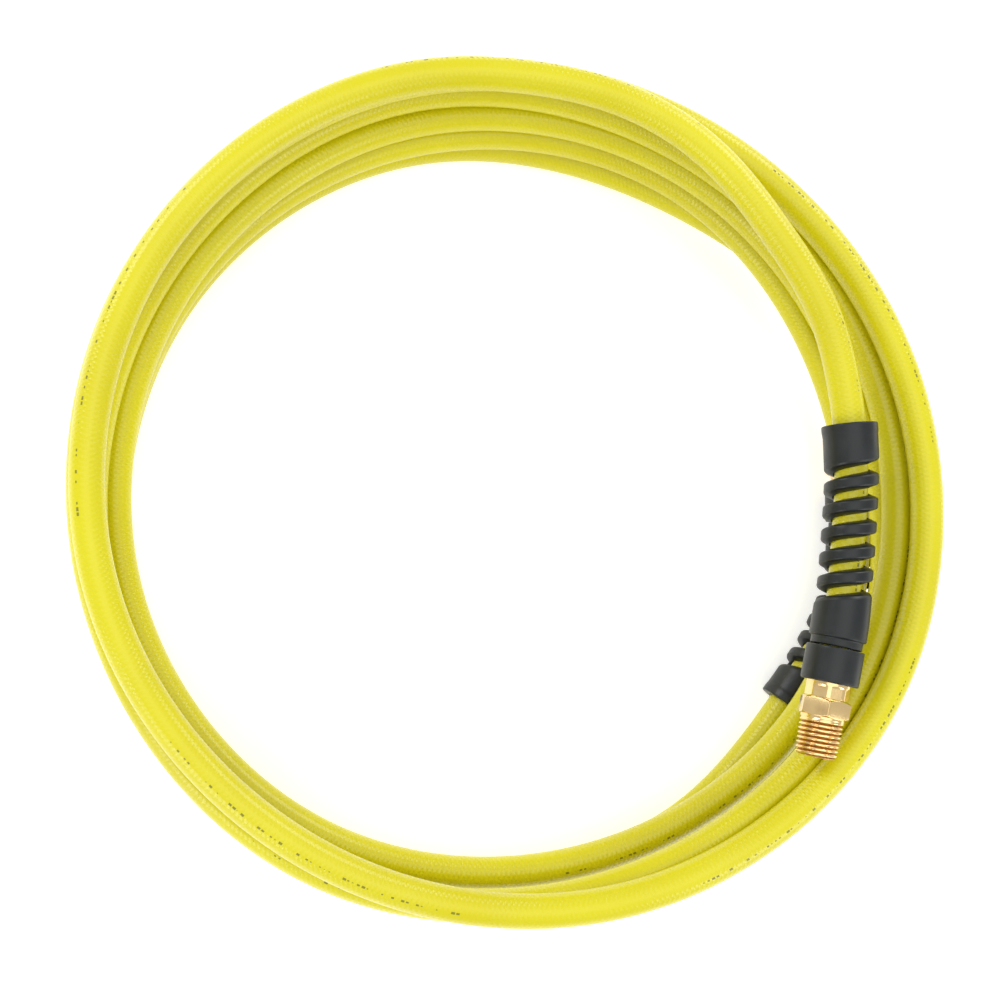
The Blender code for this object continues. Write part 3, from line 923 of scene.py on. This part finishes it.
class AIRHOSE_OT_add_collars(bpy.types.Operator):
    """Add the rubber grip collar of each end"""

    bl_idname = "air_hose.add_collars"
    bl_label = "Add Grip Collars"

    def execute(self, context):
        outer, inner = context.scene.air_hose_ends.collar_radius, FERRULE_CORNER + GAP
        profile = [
            (inner, COLLAR_START), (outer - 0.15 * MM, COLLAR_START), (outer, COLLAR_START + MM),
            (outer, COLLAR_END), (inner, COLLAR_END),
        ]
        for name in ENDS:
            collar = turned(f"{name}_collar_body", finely(eased(profile, 0.5 * MM), MM), 128)
            node = f"{name}_grip_collar"
            finish_piece(collar, RUNS[name], material("black_rubber"), node)
        return {"FINISHED"}


class AIRHOSE_OT_add_restrictors(bpy.types.Operator):
    """Add the moulded bend restrictor of each end"""

    bl_idname = "air_hose.add_restrictors"
    bl_label = "Add Bend Restrictors"

    def body(self, name, end, hose):
        """Sleeve, strap and cuff as one tube, before its slot is cut."""
        bore = hose.radius + 0.4 * MM
        profile = [
            (bore, RESTRICTOR_START), (end.neck_radius, RESTRICTOR_START),
            (end.neck_radius, GROOVE_END - 0.1 * MM),
            (end.sleeve_radius, GROOVE_END + 0.1 * MM), (end.sleeve_radius, 42.0 * MM),
            (end.sleeve_radius - 0.2 * MM, 49.0 * MM), (end.strap_radius, 54.0 * MM),
            (end.strap_radius, 88.0 * MM), (end.cuff_radius, 93.0 * MM),
            (end.cuff_radius, 99.9 * MM), (end.lip_radius, 101.0 * MM),
            (end.lip_radius, RESTRICTOR_END), (bore + 0.1 * MM, RESTRICTOR_END),
            (bore, RESTRICTOR_END - 1.2 * MM),
        ]
        return turned(name, finely(eased(profile, 0.45 * MM), 1.2 * MM), 112)

    def slot_outline(self, name, middle):
        """The slot's section: narrow at the hose, with rolled lips at the outside."""
        halves = [
            (5.1, 1.05), (5.7, 1.10), (7.4, 1.70), (7.9, 1.92), (8.12, 2.08), (8.27, 2.30),
            (8.38, 2.62), (8.6, 3.1), (9.6, 3.35),
        ]
        points = [(r - middle, -w) for r, w in halves] + [(r - middle, w) for r, w in halves[::-1]]
        curve = bpy.data.curves.new(name, "CURVE")
        curve.dimensions = "3D"
        line = curve.splines.new("POLY")
        line.points.add(len(points) - 1)
        for point, (out, up) in zip(line.points, points):
            point.co = (out * MM, up * MM, 0.0, 1.0)
        line.use_cyclic_u = True
        return add_piece(name, curve)

    def execute(self, context):
        end, hose = context.scene.air_hose_ends, context.scene.air_hose
        tree = helix_tree()
        middle = 7.0
        for name in ENDS:
            piece = self.body(f"{name}_restrictor_body", end, hose)
            slot = self.slot_outline(f"{name}_slot", middle)
            phase = STRAP_PHASES[name] - SLOT_LEAD
            start = STRAP_FIRST + end.strap_pitch * (0.5 - SLOT_LEAD / 360)
            use_tree(slot, tree, {
                "Radius": middle * MM, "Pitch": end.strap_pitch, "Turns": SLOT_TURNS,
                "Start": start, "Phase": math.radians(phase),
            }, material("black_rubber"))
            slot = settle(slot)
            boolean(piece, slot, "DIFFERENCE")
            settle(piece, [slot])
            node = f"{name}_bend_restrictor"
            finish_piece(piece, RUNS[name], material("black_rubber"), node)
        return {"FINISHED"}


class AIRHOSE_OT_dress_walls(bpy.types.Operator):
    """Give the layers of the hose's wall inside each ferrule their finishes"""

    bl_idname = "air_hose.dress_walls"
    bl_label = "Dress Hose Walls"

    def execute(self, context):
        finishes = {"cover": "cover_wall", "braid": "braid_yarn", "liner": "liner_wall"}
        for name in ENDS:
            for layer, finish in finishes.items():
                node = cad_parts[f"{name}_hose_{layer}_end"]
                for slot in node.material_slots:
                    slot.material = material(finish)
        return {"FINISHED"}


class AIRHOSE_OT_lay_hose(bpy.types.Operator):
    """Lay the hose from one fitting to the other"""

    bl_idname = "air_hose.lay_hose"
    bl_label = "Lay Hose"

    def execute(self, context):
        hose = context.scene.air_hose
        run = RUNS["upper"]
        last = run.length - hose.first
        count = int((last - hose.first) / hose.ring_step)
        places = run.frames(np.linspace(hose.first, last, count))[0]
        curve = bpy.data.curves.new("hose_run", "CURVE")
        curve.dimensions = "3D"
        line = curve.splines.new("POLY")
        line.points.add(count - 1)
        for point, place in zip(line.points, places):
            point.co = (*place, 1.0)
        piece = add_piece("hose_run", curve)
        numbers = {"Radius": hose.radius, "Step": hose.ring_step, "Sides": hose.sides}
        use_tree(piece, hose_tree(), numbers, material("hose_cover"))
        piece = settle(piece)
        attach(piece, "root")
        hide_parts("hose_coil", "upper_hose_tail", "lower_hose_tail")
        return {"FINISHED"}


class AIRHOSE_OT_set_stage(bpy.types.Operator):
    """Set the floor, the soft lights and the camera"""

    bl_idname = "air_hose.set_stage"
    bl_label = "Set Stage"

    CAMERA_PLACE = Vector((-66.8, -32.8, 457.0)) * MM
    CAMERA_AIM = Vector((-2.17, -1.81, 0.0)) * MM
    # direction in degrees, distance, height, size and power of each soft light
    LIGHTS = {
        "ceiling": (0.0, 0.0, 1.5, 1.6, 8.0),
        "far_left": (138.0, 1.15, 0.60, 0.60, 5.5),
        "far_right": (48.0, 1.15, 0.60, 0.60, 5.5),
        "near_left": (225.0, 1.15, 0.60, 0.60, 4.5),
        "near_right": (318.0, 1.15, 0.60, 0.60, 4.5),
    }

    @staticmethod
    def aim(thing, place, target):
        """Point an object's -Z at the target, with world +Y up in its view."""
        back = (place - target).normalized()
        right = Vector((0.0, 1.0, 0.0)).cross(back).normalized()
        up = back.cross(right)
        turn = Matrix((right, up, back)).transposed().to_4x4()
        thing.matrix_world = Matrix.Translation(place) @ turn

    def add_camera(self, scene, lens):
        data = bpy.data.cameras.new("camera")
        data.lens, data.sensor_width = lens, 36.0
        data.clip_start, data.clip_end = 0.01, 50.0
        camera = bpy.data.objects.new("camera", data)
        scene.collection.objects.link(camera)
        self.aim(camera, self.CAMERA_PLACE, self.CAMERA_AIM)
        scene.camera = camera

    def add_light(self, scene, name, direction, distance, height, size, power):
        data = bpy.data.lights.new(name, "AREA")
        data.shape, data.size, data.energy = "DISK", size, power
        light = bpy.data.objects.new(name, data)
        scene.collection.objects.link(light)
        turn = math.radians(direction)
        place = Vector((distance * math.cos(turn), distance * math.sin(turn), height))
        self.aim(light, place, Vector((0.0, 0.0, 0.0)))

    def execute(self, context):
        scene, stage = context.scene, context.scene.air_hose_stage
        mesh = bpy.data.meshes.new("floor")
        body = bmesh.new()
        bmesh.ops.create_grid(body, x_segments=8, y_segments=8, size=stage.floor_size / 2)
        body.to_mesh(mesh)
        body.free()
        floor = add_piece("floor", mesh, material("pale_floor"))
        world = bpy.data.worlds.new("studio")
        world.use_nodes = True
        sky = world.node_tree.nodes["Background"]
        sky.inputs["Color"].default_value = (1.0, 1.0, 1.0, 1.0)
        sky.inputs["Strength"].default_value = stage.sky
        scene.world = world
        scene.view_settings.view_transform = "Standard"
        for name, numbers in self.LIGHTS.items():
            self.add_light(scene, name, *numbers)
        self.add_camera(scene, stage.lens)
        return {"FINISHED"}


# ---------------------------------------------------------------- the add-on

OPERATORS = (
    AIRHOSE_OT_set_stage, AIRHOSE_OT_add_fittings, AIRHOSE_OT_add_ferrules,
    AIRHOSE_OT_add_collars, AIRHOSE_OT_add_restrictors, AIRHOSE_OT_dress_walls,
    AIRHOSE_OT_lay_hose,
)


class AIRHOSE_PT_panel(bpy.types.Panel):
    """The hose's settings and the steps that build it"""

    bl_idname = "AIRHOSE_PT_panel"
    bl_label = "Coiled Air Hose"
    bl_space_type = "VIEW_3D"
    bl_region_type = "UI"
    bl_category = "Air Hose"

    def draw(self, context):
        scene = context.scene
        for settings in (scene.air_hose, scene.air_hose_ends, scene.air_hose_stage):
            box = self.layout.box()
            for name in type(settings).__annotations__:
                box.prop(settings, name)
        for operator in OPERATORS:
            self.layout.operator(operator.bl_idname)


SETTINGS = {
    "air_hose": HoseSettings, "air_hose_ends": EndSettings, "air_hose_stage": StageSettings,
}
CLASSES = (*SETTINGS.values(), *OPERATORS, AIRHOSE_PT_panel)


def register():
    for item in CLASSES:
        bpy.utils.register_class(item)
    for name, settings in SETTINGS.items():
        setattr(bpy.types.Scene, name, bpy.props.PointerProperty(type=settings))


def unregister():
    for name in SETTINGS:
        delattr(bpy.types.Scene, name)
    for item in reversed(CLASSES):
        bpy.utils.unregister_class(item)


def main():
    register()
    for operator in OPERATORS:
        group, name = operator.bl_idname.split(".")
        getattr(getattr(bpy.ops, group), name)()


if __name__ == "__main__":
    main()
